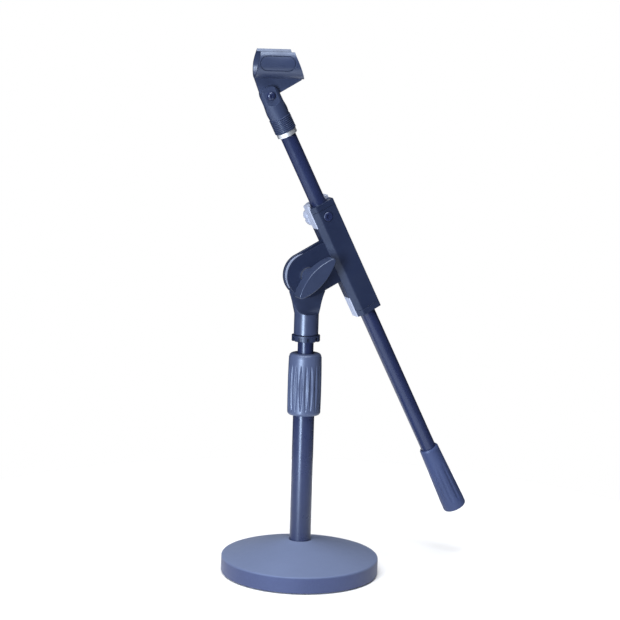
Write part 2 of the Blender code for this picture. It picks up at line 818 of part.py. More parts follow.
def make_lock_knob():
    """The boom's lock knob on the back of the sleeve, with its stud."""
    seat = SLEEVE_HALF_DEPTH + GAP
    knob = turned(
        "boom_lock_knob",
        [
            (0, seat + 0.0130),
            (LOCK_KNOB_RADIUS - 0.0020, seat + 0.0130),
            (LOCK_KNOB_RADIUS, seat + 0.0110),
            (LOCK_KNOB_RADIUS, seat + 0.0040),
            (LOCK_KNOB_RADIUS - 0.0015, seat + 0.0030),
            (0.0070, seat + 0.0025),
            (0.0070, seat),
            (0.0035, seat),
            (0.0035, seat + 0.0110),
            (0, seat + 0.0110),
        ],
        LOCK_AXIS,
        NYLON,
        steps=32,
        matrix=REARWARD,
    )
    scallop = bpy.data.meshes.new("scallop")
    work = bmesh.new()
    bmesh.ops.create_cone(
        work, cap_ends=True, segments=12, radius1=0.0030, radius2=0.0030, depth=0.030,
        matrix=Matrix.Translation((LOCK_KNOB_RADIUS + 0.0017, 0, 0.020)),
    )
    work.to_mesh(scallop)
    work.free()
    scallops = polar_copies(scallop, "knob_scallops", 8, LOCK_AXIS)
    scallops.matrix_local = REARWARD
    cut(knob, scallops)
    turned(
        "lock_stud",
        rod_profile(0.0031, LINER_RADIUS + 0.0006, seat + 0.0110 - GAP, 0.0004),
        LOCK_AXIS,
        STEEL,
        steps=24,
        matrix=REARWARD,
    )


# ---------------------------------------------------------------- boom


def make_boom():
    turned(
        "boom_liner",
        tube_profile(LINER_RADIUS, LINER_BORE, -LINER_HALF_LENGTH, LINER_HALF_LENGTH),
        SLEEVE,
        NYLON,
        ring=True,
    )
    turned(
        "boom_tube",
        tube_profile(BOOM_RADIUS, BOOM_BORE, BOOM_BOTTOM, BOOM_TOP, 0.0003),
        BOOM_AXIS,
        TUBE,
        ring=True,
    )
    turned(
        "tip_stud",
        [
            (0, BOOM_TOP + 0.0200),
            (0.0069, BOOM_TOP + 0.0200),
            (0.0074, BOOM_TOP + 0.0192),
            (0.0074, BOOM_TOP + GAP),
            (BOOM_BORE - GAP, BOOM_TOP + GAP),
            (BOOM_BORE - GAP, BOOM_TOP - 0.0240),
            (0, BOOM_TOP - 0.0240),
        ],
        BOOM_AXIS,
        STEEL,
        steps=24,
    )
    ring_bottom = BOOM_TOP + GAP
    turned(
        "tip_ring",
        tube_profile(TIP_RING_RADIUS, 0.0077, ring_bottom, ring_bottom + TIP_RING_LENGTH, 0.0006),
        BOOM_AXIS,
        STEEL,
        ring=True,
    )
    turned(
        "boom_grip",
        [
            (0, BOOM_BOTTOM - GAP),
            (BOOM_RADIUS + GAP, BOOM_BOTTOM - GAP),
            (BOOM_RADIUS + GAP, GRIP_TOP),
            (0.0091, GRIP_TOP),
            (0.0100, GRIP_TOP - 0.0015),
            (0.0122, GRIP_BOTTOM + 0.0080),
            (0.0122, GRIP_BOTTOM + 0.0020),
            (0.0106, GRIP_BOTTOM),
            (0, GRIP_BOTTOM),
        ],
        BOOM_AXIS,
        RUBBER,
    )


# ---------------------------------------------------------------- mic clip


def make_clip_base():
    bottom = BOOM_TOP + GAP + TIP_RING_LENGTH + GAP
    insert_top = bottom + 0.0175
    rib_profile = []
    for i in range(COLLAR_RIBS):
        top = bottom + 0.0150 - i * RIB_PITCH
        rib_profile += [(COLLAR_RADIUS - 0.0004, top), (COLLAR_RADIUS, top - RIB_PITCH / 2)]
    collar = turned(
        "clip_base",
        [
            (0, CLIP_PIVOT + 0.012),
            (0.0115, CLIP_PIVOT + 0.012),
            (0.0115, CLIP_PIVOT - 0.0110),
            (0.0104, bottom + 0.0165),
            *rib_profile,
            (COLLAR_RADIUS, bottom),
            (0.0090, bottom),
            (0.0090, insert_top + GAP),
            (0, insert_top + GAP),
        ],
        CLIP_AXIS,
        PLASTIC,
    )
    fork = [
        (COLLAR_RADIUS + 0.001, bottom - 0.005),
        (COLLAR_RADIUS + 0.001, bottom + 0.0100),
        (FORK_HALF_WIDTH, CLIP_PIVOT - 0.0090),
        *arc(0, CLIP_PIVOT, FORK_HALF_WIDTH, 0, 180, 16),
        (-FORK_HALF_WIDTH, CLIP_PIVOT - 0.0090),
        (-COLLAR_RADIUS - 0.001, bottom + 0.0100),
        (-COLLAR_RADIUS - 0.001, bottom - 0.005),
    ]
    envelope = plate("fork_outline", fork, -0.015, 0.015, CLIP_AXIS, matrix=FRONTAL, cutter=True)
    slot = box_cutter(
        "fork_slot",
        (-0.015, -FORK_SLOT / 2, CLIP_PIVOT - 0.0110),
        (0.015, FORK_SLOT / 2, CLIP_PIVOT + 0.020),
        CLIP_AXIS,
    )
    flats = [
        box_cutter(name, (-0.015, low, CLIP_PIVOT - 0.0098), (0.015, high, CLIP_PIVOT + 0.020), CLIP_AXIS)
        for name, low, high in (("front_flat", -0.020, -FORK_DEPTH), ("back_flat", FORK_DEPTH, 0.020))
    ]
    keep_inside(collar, envelope)
    at_pivot = Matrix.Translation((0, 0, CLIP_PIVOT)) @ FRONTAL
    hole = drill("fork_hole", PIVOT_RADIUS + GAP, -0.02, 0.02, CLIP_AXIS, at_pivot)
    cut(collar, slot, *flats, hole)
    turned(
        "thread_insert",
        tube_profile(0.0087, 0.0077, bottom + GAP, insert_top),
        CLIP_AXIS,
        BRASS,
        steps=24,
        ring=True,
    )
    face = FORK_DEPTH + GAP
    turned(
        "pivot_screw",
        [
            (0, face + 0.0026),
            (0.0030, face + 0.0024),
            (0.0044, face + 0.0010),
            (0.0044, face),
            (PIVOT_RADIUS, face),
            (PIVOT_RADIUS, -face - 0.0040),
            (0, -face - 0.0040),
        ],
        CLIP_AXIS,
        STEEL,
        steps=24,
        matrix=at_pivot,
    )
    nut = plate("pivot_nut", hexagon(0.0080), -face - 0.0032, -face, CLIP_AXIS, STEEL, at_pivot)
    cut(nut, drill("nut_hole", PIVOT_RADIUS + GAP, -0.02, 0.02, CLIP_AXIS, at_pivot))


def make_clip_jaw():
    """An open C that holds the microphone, on a wedge-shaped lug."""
    opening = JAW_OPENING
    outer = arc(0, JAW_CENTRE, JAW_RADIUS, 90 + opening, 450 - opening, 24)
    inner = arc(0, JAW_CENTRE, JAW_BORE, 450 - opening - 2, 90 + opening + 2, 24)
    along = Matrix(((0, 0, 1, 0), (1, 0, 0, 0), (0, 1, 0, 0), (0, 0, 0, 1)))
    jaw = plate("clip_jaw", outer + inner, -0.025, 0.040, JAW_AXIS, PLASTIC, along)
    side_cut = [
        (-0.0166, 0.0100),
        (0.0332, 0.0100),
        (0.0332, 0.0150),
        (0.0262, 0.0310),
        (0.0207, 0.0430),
        (0.0205, 0.0600),
        (-0.0105, 0.0600),
        (-0.0122, 0.0430),
        (-0.0150, 0.0300),
    ]
    envelope = plate("jaw_outline", side_cut, -0.030, 0.030, JAW_AXIS, matrix=FRONTAL, cutter=True)
    keep_inside(jaw, envelope)
    boss = FORK_HALF_WIDTH - 0.0006
    lug_outline = [
        (-0.0152, 0.0178),
        (-0.0156, 0.0156),
        *arc(0, 0, boss, 200, 374, 14),
        (0.0305, 0.0156),
        (0.0295, 0.0178),
    ]
    half_lug = FORK_SLOT / 2 - GAP
    lug = plate("jaw_lug", lug_outline, -half_lug, half_lug, JAW_AXIS, matrix=FRONTAL, cutter=True)
    unite(jaw, lug)
    groove = make_jaw_groove()
    hole = drill("jaw_hole", PIVOT_RADIUS + GAP, -0.02, 0.02, JAW_AXIS, FRONTAL)
    cut(jaw, groove, hole)


def stadium(centre_x, centre_y, half_length, radius, count=6):
    straight = half_length - radius
    return [
        *arc(centre_x + straight, centre_y, radius, -90, 90, count),
        *arc(centre_x - straight, centre_y, radius, 90, 270, count),
    ]


def make_jaw_groove():
    """A race-track groove round the grip panel on the front of the jaw."""
    panel = (0.0046, JAW_CENTRE)
    outer = plate(
        "groove_outer", stadium(*panel, 0.0176, 0.0075), 0.010, 0.022, JAW_AXIS, matrix=FRONTAL, cutter=True
    )
    island = plate(
        "groove_island", stadium(*panel, 0.0165, 0.0064), 0.009, 0.023, JAW_AXIS, matrix=FRONTAL, cutter=True
    )
    across = Matrix.Translation((0, 0, JAW_CENTRE)) @ Matrix.Rotation(math.radians(90), 4, "Y")
    core = drill("groove_core", JAW_RADIUS - 0.0008, -0.04, 0.04, JAW_AXIS, across, 32)
    cut(outer, island, core)
    return outer


make_base()
make_outer_mast()
make_clutch()
make_inner_mast()
make_neck()
make_holder_front()
make_holder_back()
make_bushes()
make_end_caps()
make_pressure_screw()
make_tilt_fastening()
make_wing_knob()
make_lock_knob()
make_boom()
make_clip_base()
make_clip_jaw()
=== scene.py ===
"""Desktop microphone stand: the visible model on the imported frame, its materials, studio and camera."""

import json
import math

import bmesh
import bpy
from mathutils import Matrix, Vector


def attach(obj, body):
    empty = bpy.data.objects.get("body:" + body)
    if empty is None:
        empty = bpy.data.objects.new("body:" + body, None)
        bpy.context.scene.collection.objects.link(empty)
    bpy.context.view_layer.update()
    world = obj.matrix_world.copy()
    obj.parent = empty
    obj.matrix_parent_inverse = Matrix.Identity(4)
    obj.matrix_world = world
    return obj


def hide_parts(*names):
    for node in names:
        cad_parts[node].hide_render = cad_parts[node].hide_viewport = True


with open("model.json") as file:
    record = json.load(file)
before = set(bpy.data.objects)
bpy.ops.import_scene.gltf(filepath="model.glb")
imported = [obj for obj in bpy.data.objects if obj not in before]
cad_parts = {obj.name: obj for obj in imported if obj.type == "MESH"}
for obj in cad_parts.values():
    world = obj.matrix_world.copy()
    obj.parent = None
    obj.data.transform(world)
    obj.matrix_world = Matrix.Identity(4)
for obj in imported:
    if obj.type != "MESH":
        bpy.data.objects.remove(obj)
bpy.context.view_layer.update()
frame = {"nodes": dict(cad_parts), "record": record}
NODES = frame["nodes"]
BODY_OF = {
    node: body for body, nodes in frame["record"]["behaviour"]["bodies"].items() for node in nodes
}
SLOT_OF = {entry["node"]: entry["material_slot"] for entry in frame["record"]["subparts"]}

# ---------------------------------------------------------------- sizes, in metres, as in the CAD model
GAP = 0.0003                # air between pieces that touch

BASE_RADIUS = 0.080
BASE_RIM_HEIGHT = 0.0178
BASE_CROWN_HEIGHT = 0.0344
BASE_BOSS_FLOOR = 0.011     # underside of the boss that takes the mast bolt
SOCKET_FLOOR = 0.017        # bottom of the socket that the mast stands in
PAD_RADIUS = 0.0765
PAD_THICKNESS = 0.0020

OUTER_TUBE_RADIUS = 0.0108
OUTER_TUBE_BORE = 0.0096
OUTER_TUBE_TOP = 0.198
INNER_TUBE_RADIUS = 0.0080
INNER_TUBE_BORE = 0.0069
INNER_TUBE_BOTTOM = 0.052
INNER_TUBE_TOP = 0.250

CLUTCH_BOTTOM = 0.1647
CLUTCH_TOP = 0.2270
CLUTCH_RADIUS = 0.0171
FLUTE_COUNT = 20
COLLET_BOTTOM = 0.2033
COLLET_TOP = 0.2190

RING_BOTTOM = 0.2395
RING_TOP = 0.2455
RING_RADIUS = 0.0143
NECK_RADIUS = 0.01235
NECK_CONE_START = 0.267
NECK_CONE_TOP = 0.289
NECK_CONE_RADIUS = 0.0190

TILT_HEIGHT = 0.306         # height of the tilt axis above the table
TILT_OFFSET = -0.0020       # tilt axis from the mast axis, along X
BOOM_TILT = 27.5            # boom from vertical, degrees
EAR_RADIUS = 0.0220
EAR_INNER = 0.0041          # inner faces of the ears, from the mast's middle plane
FRONT_EAR_THICKNESS = 0.0028
BACK_EAR_THICKNESS = 0.0035
TONGUE_THICKNESS = 0.0026
DISC_THICKNESS = 0.0022
TILT_BOLT_RADIUS = 0.0040

BOOM_OFFSET = 0.0428        # tilt axis to boom axis, across the boom
BOOM_FORWARD = 0.0012       # boom axis in front of the mast's middle plane
BOOM_RADIUS = 0.00785
BOOM_BORE = 0.00665
BOOM_TOP = 0.1346           # ends of the tube, from the foot of the perpendicular off the tilt axis
BOOM_BOTTOM = -0.2983
SLEEVE_HALF_LENGTH = 0.0615
SLEEVE_CENTRE = -0.0024     # middle of the sleeve, up the boom
SLEEVE_LEFT = -0.01425      # section of the sleeve, from the boom axis
SLEEVE_RIGHT = 0.0126
SLEEVE_SIDE_HALF = 0.0060   # half depth of the side that faces the mast
SLEEVE_FLAT_LEFT = -0.0078  # where the chamfer meets the front and back faces
SLEEVE_HALF_DEPTH = 0.0110
END_CAP_LENGTH = 0.0057
BUSH_LENGTH = 0.0220
BUSH_RISE = 0.0028          # upper bush above the end cap
FLANK_THICKNESS = 0.0022    # side wall of a bush that wraps round to the front half
FLANK_REACH = 0.0063
SLEEVE_BORE = 0.0093
LOCK_HEIGHT = 0.0446        # lock knob and pressure screw, up the boom

KNOB_ANGLE = 19.0           # wings of the tilt knob, from the line across the boom
KNOB_HALF_LENGTH = 0.0263
KNOB_HALF_WIDTH = 0.0080
KNOB_FRONT = 0.0310
KNOB_WING_BACK = 0.0160
LOCK_KNOB_RADIUS = 0.0130

GRIP_TOP = -0.2305
GRIP_BOTTOM = -0.3046
TIP_RING_RADIUS = 0.0102
TIP_RING_LENGTH = 0.0044

CLIP_TURN = -14.0           # clip base on its thread, about the boom
CLIP_PIVOT = 0.1786         # pivot of the jaw, up the boom
COLLAR_RADIUS = 0.0112
COLLAR_RIBS = 8
RIB_PITCH = 0.0018
FORK_HALF_WIDTH = 0.0094
FORK_SLOT = 0.0096
FORK_DEPTH = 0.0096         # half depth of the fork along the pivot
PIVOT_RADIUS = 0.0025
JAW_RADIUS = 0.0164
JAW_BORE = 0.0133
JAW_CENTRE = 0.0322         # centre of the cradle above the pivot
JAW_OPENING = 48.0          # half angle of the slot at the top, degrees

# ---------------------------------------------------------------- placing
FRONTAL = Matrix.Rotation(math.radians(90), 4, "X")     # local Z to -Y, local Y to +Z
REARWARD = Matrix.Rotation(math.radians(-90), 4, "X")   # local Z to +Y, local Y to -Z
MAST = Matrix.Identity(4)
TILT_POINT = Matrix.Translation((TILT_OFFSET, 0, TILT_HEIGHT))
TILT = TILT_POINT @ Matrix.Rotation(math.radians(-BOOM_TILT), 4, "Y")
BOOM = TILT @ Matrix.Translation((BOOM_OFFSET, -BOOM_FORWARD, 0))
SLEEVE = BOOM @ Matrix.Translation((0, 0, SLEEVE_CENTRE))
LOCK = BOOM @ Matrix.Translation((0, 0, LOCK_HEIGHT))
CLIP = BOOM @ Matrix.Rotation(math.radians(CLIP_TURN), 4, "Z")


def jaw_place():
    """The jaw's frame: cradle level with the table, pivot along its local Y."""
    base = CLIP.to_3x3()
    pivot = base @ Vector((0, 1, 0))
    level = pivot.cross(Vector((0, 0, 1))).normalized()
    upright = level.cross(pivot)
    turn = Matrix((level, pivot, upright)).transposed().to_4x4()
    return Matrix.Translation(CLIP @ Vector((0, 0, CLIP_PIVOT))) @ turn


JAW = jaw_place()

# ---------------------------------------------------------------- mesh helpers


def arc(centre_x, centre_y, radius, start, end, count):
    """Points along an arc, angles in degrees."""
    angles = [math.radians(start + (end - start) * i / count) for i in range(count + 1)]
    return [(centre_x + radius * math.cos(a), centre_y + radius * math.sin(a)) for a in angles]


def smooth_step(low, high, value):
    t = min(max((value - low) / (high - low), 0.0), 1.0)
    return t * t * (3 - 2 * t)


def rounded(points, radius, count=4):
    """An open outline with its inner corners rounded off."""
    made = [points[0]]
    for before, corner, after in zip(points, points[1:], points[2:]):
        here, back, ahead = Vector(corner), Vector(before), Vector(after)
        reach = min(radius, (back - here).length * 0.45, (ahead - here).length * 0.45)
        start = here + (back - here).normalized() * reach
        end = here + (ahead - here).normalized() * reach
        for i in range(count + 1):
            t = i / count
            point = start * (1 - t) ** 2 + here * 2 * t * (1 - t) + end * t**2
            made.append(tuple(point))
    made.append(points[-1])
    return made


def new_object(name, mesh, place):
    obj = bpy.data.objects.new(name, mesh)
    bpy.context.scene.collection.objects.link(obj)
    obj.matrix_world = place
    return obj


def mesh_from(name, vertices, faces):
    mesh = bpy.data.meshes.new(name)
    mesh.from_pydata(vertices, [], faces)
    work = bmesh.new()
    work.from_mesh(mesh)
    bmesh.ops.remove_doubles(work, verts=work.verts, dist=1e-7)
    bmesh.ops.recalc_face_normals(work, faces=work.faces)
    work.to_mesh(mesh)
    work.free()
    return mesh


def turned(name, profile, place=MAST, steps=96, ring=False, shape=None):
    """Turns (radius, height) points about local Z. shape(angle, radius, height) may change a radius."""
    rows = []
    vertices = []
    for radius, height in profile:
        if radius < 1e-9:
            rows.append([len(vertices)] * steps)
            vertices.append((0.0, 0.0, height))
            continue
        row = []
        for i in range(steps):
            angle = 2 * math.pi * i / steps
            reach = shape(angle, radius, height) if shape else radius
            row.append(len(vertices))
            vertices.append((reach * math.cos(angle), reach * math.sin(angle), height))
        rows.append(row)
    pairs = list(zip(rows, rows[1:]))
    if ring:
        pairs.append((rows[-1], rows[0]))
    faces = []
    for upper, lower in pairs:
        for i in range(steps):
            j = (i + 1) % steps
            face = [upper[i], upper[j], lower[j], lower[i]]
            kept = [v for k, v in enumerate(face) if v != face[k - 1]]
            if len(kept) > 2:
                faces.append(kept)
    return new_object(name, mesh_from(name, vertices, faces), place)


def plate(name, outline, low, high, place):
    """A flat outline in local XY, from height low to height high."""
    count = len(outline)
    vertices = [(x, y, low) for x, y in outline] + [(x, y, high) for x, y in outline]
    faces = [list(range(count)), list(range(count, 2 * count))]
    faces += [[i, (i + 1) % count, (i + 1) % count + count, i + count] for i in range(count)]
    return new_object(name, mesh_from(name, vertices, faces), place)


def block(name, low, high, place):
    outline = [(low[0], low[1]), (high[0], low[1]), (high[0], high[1]), (low[0], high[1])]
    return plate(name, outline, low[2], high[2], place)


def rod(name, radius, low, high, place, steps=64):
    return turned(name, [(0, high), (radius, high), (radius, low), (0, low)], place, steps)


def tube_profile(outer, inner, bottom, top, chamfer=0.0003):
    shape = [
        (inner, top),
        (outer, top),
        (outer, bottom),
        (inner, bottom),
    ]
    return rounded(shape, chamfer)


def apply_modifiers(obj):
    graph = bpy.context.evaluated_depsgraph_get()
    mesh = bpy.data.meshes.new_from_object(obj.evaluated_get(graph))
    obj.modifiers.clear()
    old = obj.data
    obj.data = mesh
    bpy.data.meshes.remove(old)


def combine(obj, operation, *others):
    """Boolean of obj with the others, which are used up."""
    for other in others:
        step = obj.modifiers.new("shape", "BOOLEAN")
        step.operation = operation
        step.solver = "EXACT"
        step.object = other
    bpy.context.view_layer.update()
    apply_modifiers(obj)
    for other in others:
        mesh = other.data
        bpy.data.objects.remove(other, do_unlink=True)
        bpy.data.meshes.remove(mesh)
    return obj


def cut(obj, *others):
    return combine(obj, "DIFFERENCE", *others)


def unite(obj, *others):
    return combine(obj, "UNION", *others)


def keep_inside(obj, other):
    return combine(obj, "INTERSECT", other)


def round_edges(obj, width):
    obj.data.shade_smooth()
    edge = obj.modifiers.new("edges", "BEVEL")
    edge.width = width
    edge.segments = 3
    edge.limit_method = "ANGLE"
    edge.angle_limit = math.radians(30)
    edge.use_clamp_overlap = True
    bpy.context.view_layer.update()
    apply_modifiers(obj)


def stands_for(obj, node, look, bevel=0.0, sharp=32):
    """obj replaces that CAD node, rides on its body and takes its finish."""
    work = bmesh.new()
    work.from_mesh(obj.data)
    bmesh.ops.remove_doubles(work, verts=work.verts, dist=2e-6)
    bmesh.ops.dissolve_degenerate(work, edges=work.edges, dist=1e-6)
    work.to_mesh(obj.data)
    work.free()
    obj.data.materials.clear()
    obj.data.materials.append(look)
    if bevel:
        round_edges(obj, bevel)
    obj.data.shade_smooth()
    obj.data.set_sharp_from_angle(angle=math.radians(sharp))
    flat = obj.modifiers.new("normals", "WEIGHTED_NORMAL")
    flat.keep_sharp = True
    flat.weight = 80
    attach(obj, BODY_OF[node])
    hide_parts(node)
    return obj


# ---------------------------------------------------------------- materials


class Look:
    """A Principled material with helpers for its procedural inputs."""

    def __init__(self, name):
        self.material = bpy.data.materials.new(name)
        self.material.use_nodes = True
        self.nodes = self.material.node_tree.nodes
        self.links = self.material.node_tree.links
        self.shader = self.nodes["Principled BSDF"]
        self.coordinates = self.nodes.new("ShaderNodeTexCoord")

    def set(self, **values):
        for key, value in values.items():
            self.shader.inputs[key.replace("_", " ")].default_value = value

    def link(self, source, target):
        self.links.new(source, target)

    def noise(self, scale, detail=4.0, roughness=0.5, stretch=None):
        node = self.nodes.new("ShaderNodeTexNoise")
        node.inputs["Scale"].default_value = scale
        node.inputs["Detail"].default_value = detail
        node.inputs["Roughness"].default_value = roughness
        source = self.coordinates.outputs["Object"]
        if stretch:
            mapping = self.nodes.new("ShaderNodeMapping")
            mapping.inputs["Scale"].default_value = stretch
            self.link(source, mapping.inputs["Vector"])
            source = mapping.outputs["Vector"]
        self.link(source, node.inputs["Vector"])
        return node.outputs["Fac"]

    def spread(self, source, low, high, start=0.3, end=0.7):
        """Maps a factor to the range low to high."""
        node = self.nodes.new("ShaderNodeMapRange")
        for key, value in (("From Min", start), ("From Max", end), ("To Min", low), ("To Max", high)):
            node.inputs[key].default_value = value
        self.link(source, node.inputs["Value"])
        return node.outputs["Result"]

    def blend(self, factor, first, second):
        """Mixes two colours. Each is a colour or another node's output."""
        node = self.nodes.new("ShaderNodeMix")
        node.data_type = "RGBA"
        self.link(factor, node.inputs["Factor"])
        for value, key in ((first, 6), (second, 7)):
            if isinstance(value, tuple):
                node.inputs[key].default_value = (*value, 1.0)
            else:
                self.link(value, node.inputs[key])
        return node.outputs[2]

    def bump(self, height, strength, distance):
        node = self.nodes.new("ShaderNodeBump")
        node.inputs["Strength"].default_value = strength
        node.inputs["Distance"].default_value = distance
        self.link(height, node.inputs["Height"])
        return node.outputs["Normal"]


GLOSS_TINT = (0.70, 0.81, 1.0, 1.0)     # colour of the gloss on paint and plastic
SHEEN_TINT = (0.62, 0.76, 1.0, 1.0)


def shade(color, factor):
    return tuple(channel * factor for channel in color)


def coated(name, color, rough, grain, grain_depth, level=0.5, sheen=0.0, mottle=0.12):
    """Paint or moulded plastic: mottled colour, and a fine pale grain unless its depth is 0."""
    look = Look(name)
    look.set(Specular_IOR_Level=level, Specular_Tint=GLOSS_TINT)
    look.set(Sheen_Weight=sheen, Sheen_Roughness=0.45, Sheen_Tint=SHEEN_TINT)
    broad = look.noise(22.0, 3.0)
    fine = look.noise(grain, 3.0, 0.6)
    base = look.blend(
        look.spread(broad, 0.0, 1.0), shade(color, 1 - mottle), shade(color, 1 + mottle)
    )
    if grain_depth:
        base = look.blend(look.spread(fine, 0.0, 0.3, 0.5, 0.8), base, shade(color, 1.3))
        look.link(look.bump(fine, 0.35, grain_depth), look.shader.inputs["Normal"])
    look.link(base, look.shader.inputs["Base Color"])
    smudge = look.noise(70.0, 5.0, 0.6)
    look.link(look.spread(smudge, rough - 0.05, rough + 0.07), look.shader.inputs["Roughness"])
    return look.material


def cast_with_painted_lit_crown(name, side_color, painted_lit_crown_color, rough):
    """Powder coat on a casting: the crown is painted paler than the rim below it, as painted top light."""
    look = Look(name)
    look.set(Specular_IOR_Level=0.4, Specular_Tint=GLOSS_TINT, Sheen_Weight=0.1)
    split = look.nodes.new("ShaderNodeSeparateXYZ")
    look.link(look.coordinates.outputs["Object"], split.inputs[0])
    # painted top light: above the rim the crown blends to the paler second colour
    crown = look.spread(split.outputs["Z"], 0.0, 1.0, BASE_RIM_HEIGHT - 0.0022, BASE_RIM_HEIGHT - 0.0002)
    broad = look.spread(look.noise(16.0, 3.0), 0.0, 1.0)
    rim = look.blend(broad, shade(side_color, 0.93), shade(side_color, 1.07))
    top = look.blend(broad, shade(painted_lit_crown_color, 0.95), shade(painted_lit_crown_color, 1.05))
    fine = look.noise(1500.0, 3.0, 0.6)
    painted = look.blend(crown, rim, top)
    toned = look.blend(look.spread(fine, 0.0, 0.25, 0.5, 0.8), painted, shade(painted_lit_crown_color, 1.15))
    look.link(toned, look.shader.inputs["Base Color"])
    smudge = look.noise(70.0, 5.0, 0.6)
    look.link(look.spread(smudge, rough - 0.05, rough + 0.07), look.shader.inputs["Roughness"])
    look.link(look.bump(fine, 0.35, 0.00012), look.shader.inputs["Normal"])
    return look.material


def plated(name, color, rough, stretch=(1.0, 1.0, 60.0)):
    """Bright plated or turned metal with fine tool lines."""
    look = Look(name)
    look.set(Metallic=1.0)
    lines = look.noise(180.0, 4.0, 0.6, stretch)
    cloud = look.noise(60.0, 4.0)
    base = look.blend(look.spread(cloud, 0.0, 1.0), shade(color, 0.86), shade(color, 1.05))
    look.link(base, look.shader.inputs["Base Color"])
    look.link(look.spread(lines, rough - 0.08, rough + 0.12), look.shader.inputs["Roughness"])
    look.link(look.bump(lines, 0.15, 0.00008), look.shader.inputs["Normal"])
    return look.material


LOOKS = {
    # the second, paler colour is painted top light on the crown of the base
    "cast_paint": cast_with_painted_lit_crown("cast_powder_coat", (0.040, 0.052, 0.125), (0.104, 0.133, 0.230), 0.60),
    "neck_paint": coated("neck_enamel", (0.030, 0.040, 0.085), 0.31, 900.0, 0.0, 0.9),
    "tube_paint": coated("tube_enamel", (0.014, 0.020, 0.062), 0.29, 500.0, 0.0, 0.7, mottle=0.08),
    "dark_plastic": coated("dark_plastic_grain", (0.012, 0.018, 0.046), 0.40, 1700.0, 0.00008, 0.6),
    "clip_plastic": coated("clip_plastic_grain", (0.026, 0.036, 0.080), 0.36, 1700.0, 0.00006, 1.0),
    "clutch_plastic": coated("clutch_plastic_satin", (0.050, 0.065, 0.125), 0.36, 1300.0, 0.00006, 0.8),
    "knob_plastic": coated("knob_plastic_satin", (0.028, 0.038, 0.078), 0.30, 1100.0, 0.00004, 0.8),
    "grey_nylon": coated("grey_nylon_satin", (0.38, 0.41, 0.52), 0.42, 900.0, 0.00004, mottle=0.05),
    "disc_nylon": coated("disc_nylon_satin", (0.22, 0.25, 0.34), 0.38, 900.0, 0.00004, mottle=0.05),
    "bright_ring": plated("satin_nickel", (0.90, 0.92, 0.97), 0.50),
    "zinc_steel": plated("zinc_plate", (0.62, 0.64, 0.70), 0.32),
    "brass": plated("turned_brass", (0.72, 0.55, 0.27), 0.30),
    "rubber": coated("rubber_matt", (0.028, 0.034, 0.060), 0.70, 700.0, 0.00006, 0.2),
    "grip_rubber": coated("grip_rubber_satin", (0.032, 0.046, 0.116), 0.46, 800.0, 0.00005),
}

for node_name, node in NODES.items():
    node.data.materials.clear()
    node.data.materials.append(LOOKS[SLOT_OF[node_name]])
    node.data.shade_smooth()
    node.data.set_sharp_from_angle(angle=math.radians(32))

# ---------------------------------------------------------------- base and outer mast


def make_base():
    rim = BASE_RIM_HEIGHT
    crown = []
    for i in range(15):
        t = i / 14
        radius = 0.0165 + (BASE_RADIUS - 0.0024 - 0.0165) * t
        height = 0.0332 + (rim + 0.0002 - 0.0332) * (0.86 * t + 0.14 * t * t)
        crown.append((radius, height))
    profile = [
        (OUTER_TUBE_RADIUS + GAP, BASE_CROWN_HEIGHT - 0.0004),
        (OUTER_TUBE_RADIUS + GAP + 0.0004, BASE_CROWN_HEIGHT),
        (0.0140, BASE_CROWN_HEIGHT - 0.0002),
        *crown,
        *arc(BASE_RADIUS - 0.0018, rim - 0.0018, 0.0018, 74, 0, 7),
        (BASE_RADIUS, 0.0026),
        *arc(BASE_RADIUS - 0.0014, 0.0022, 0.0014, 0, -90, 5),
        (PAD_RADIUS + GAP, 0.0008),
        (PAD_RADIUS + GAP, PAD_THICKNESS + GAP),
        (0.0700, PAD_THICKNESS + GAP),
        (0.0660, 0.0075),
        (0.0280, 0.0150),
        (0.0240, BASE_BOSS_FLOOR),
        (0.0054, BASE_BOSS_FLOOR),
        (0.0054, SOCKET_FLOOR),
        (OUTER_TUBE_RADIUS + GAP, SOCKET_FLOOR),
    ]
    base = turned("cast_base", profile, steps=192, ring=True)
    stands_for(base, "base_casting", LOOKS["cast_paint"])
    pad_profile = [
        (0, PAD_THICKNESS),
        (PAD_RADIUS - 0.0008, PAD_THICKNESS),
        (PAD_RADIUS, PAD_THICKNESS - 0.0008),
        (PAD_RADIUS, 0.0006),
        (PAD_RADIUS - 0.0006, 0),
        (0.0700, 0),
        (0.0690, 0.0005),
        (0.0640, 0.0005),
        (0.0630, 0),
        (0, 0),
    ]
    pad = turned("ribbed_pad", pad_profile, steps=128)
    stands_for(pad, "base_pad", LOOKS["rubber"])


def make_outer_mast():
    outer = turned(
        "lower_tube",
        tube_profile(OUTER_TUBE_RADIUS, OUTER_TUBE_BORE, SOCKET_FLOOR + GAP, OUTER_TUBE_TOP),
        ring=True,
    )
    stands_for(outer, "outer_tube", LOOKS["tube_paint"])


def flute_depth(angle, height):
    """How deep the pointed flutes of the clutch nut are at a point."""
    middle, half = 0.1925, 0.0235
    ends = 1 - abs(height - middle) / half
    if ends <= 0:
        return 0.0
    pitch = 2 * math.pi / FLUTE_COUNT
    across = abs((angle / pitch + 0.5) % 1 - 0.5) * 2
    width = 0.92 * ends ** 0.55
    if across >= width:
        return 0.0
    return 0.00135 * ends ** 0.4 * (1 - (across / width) ** 1.3)


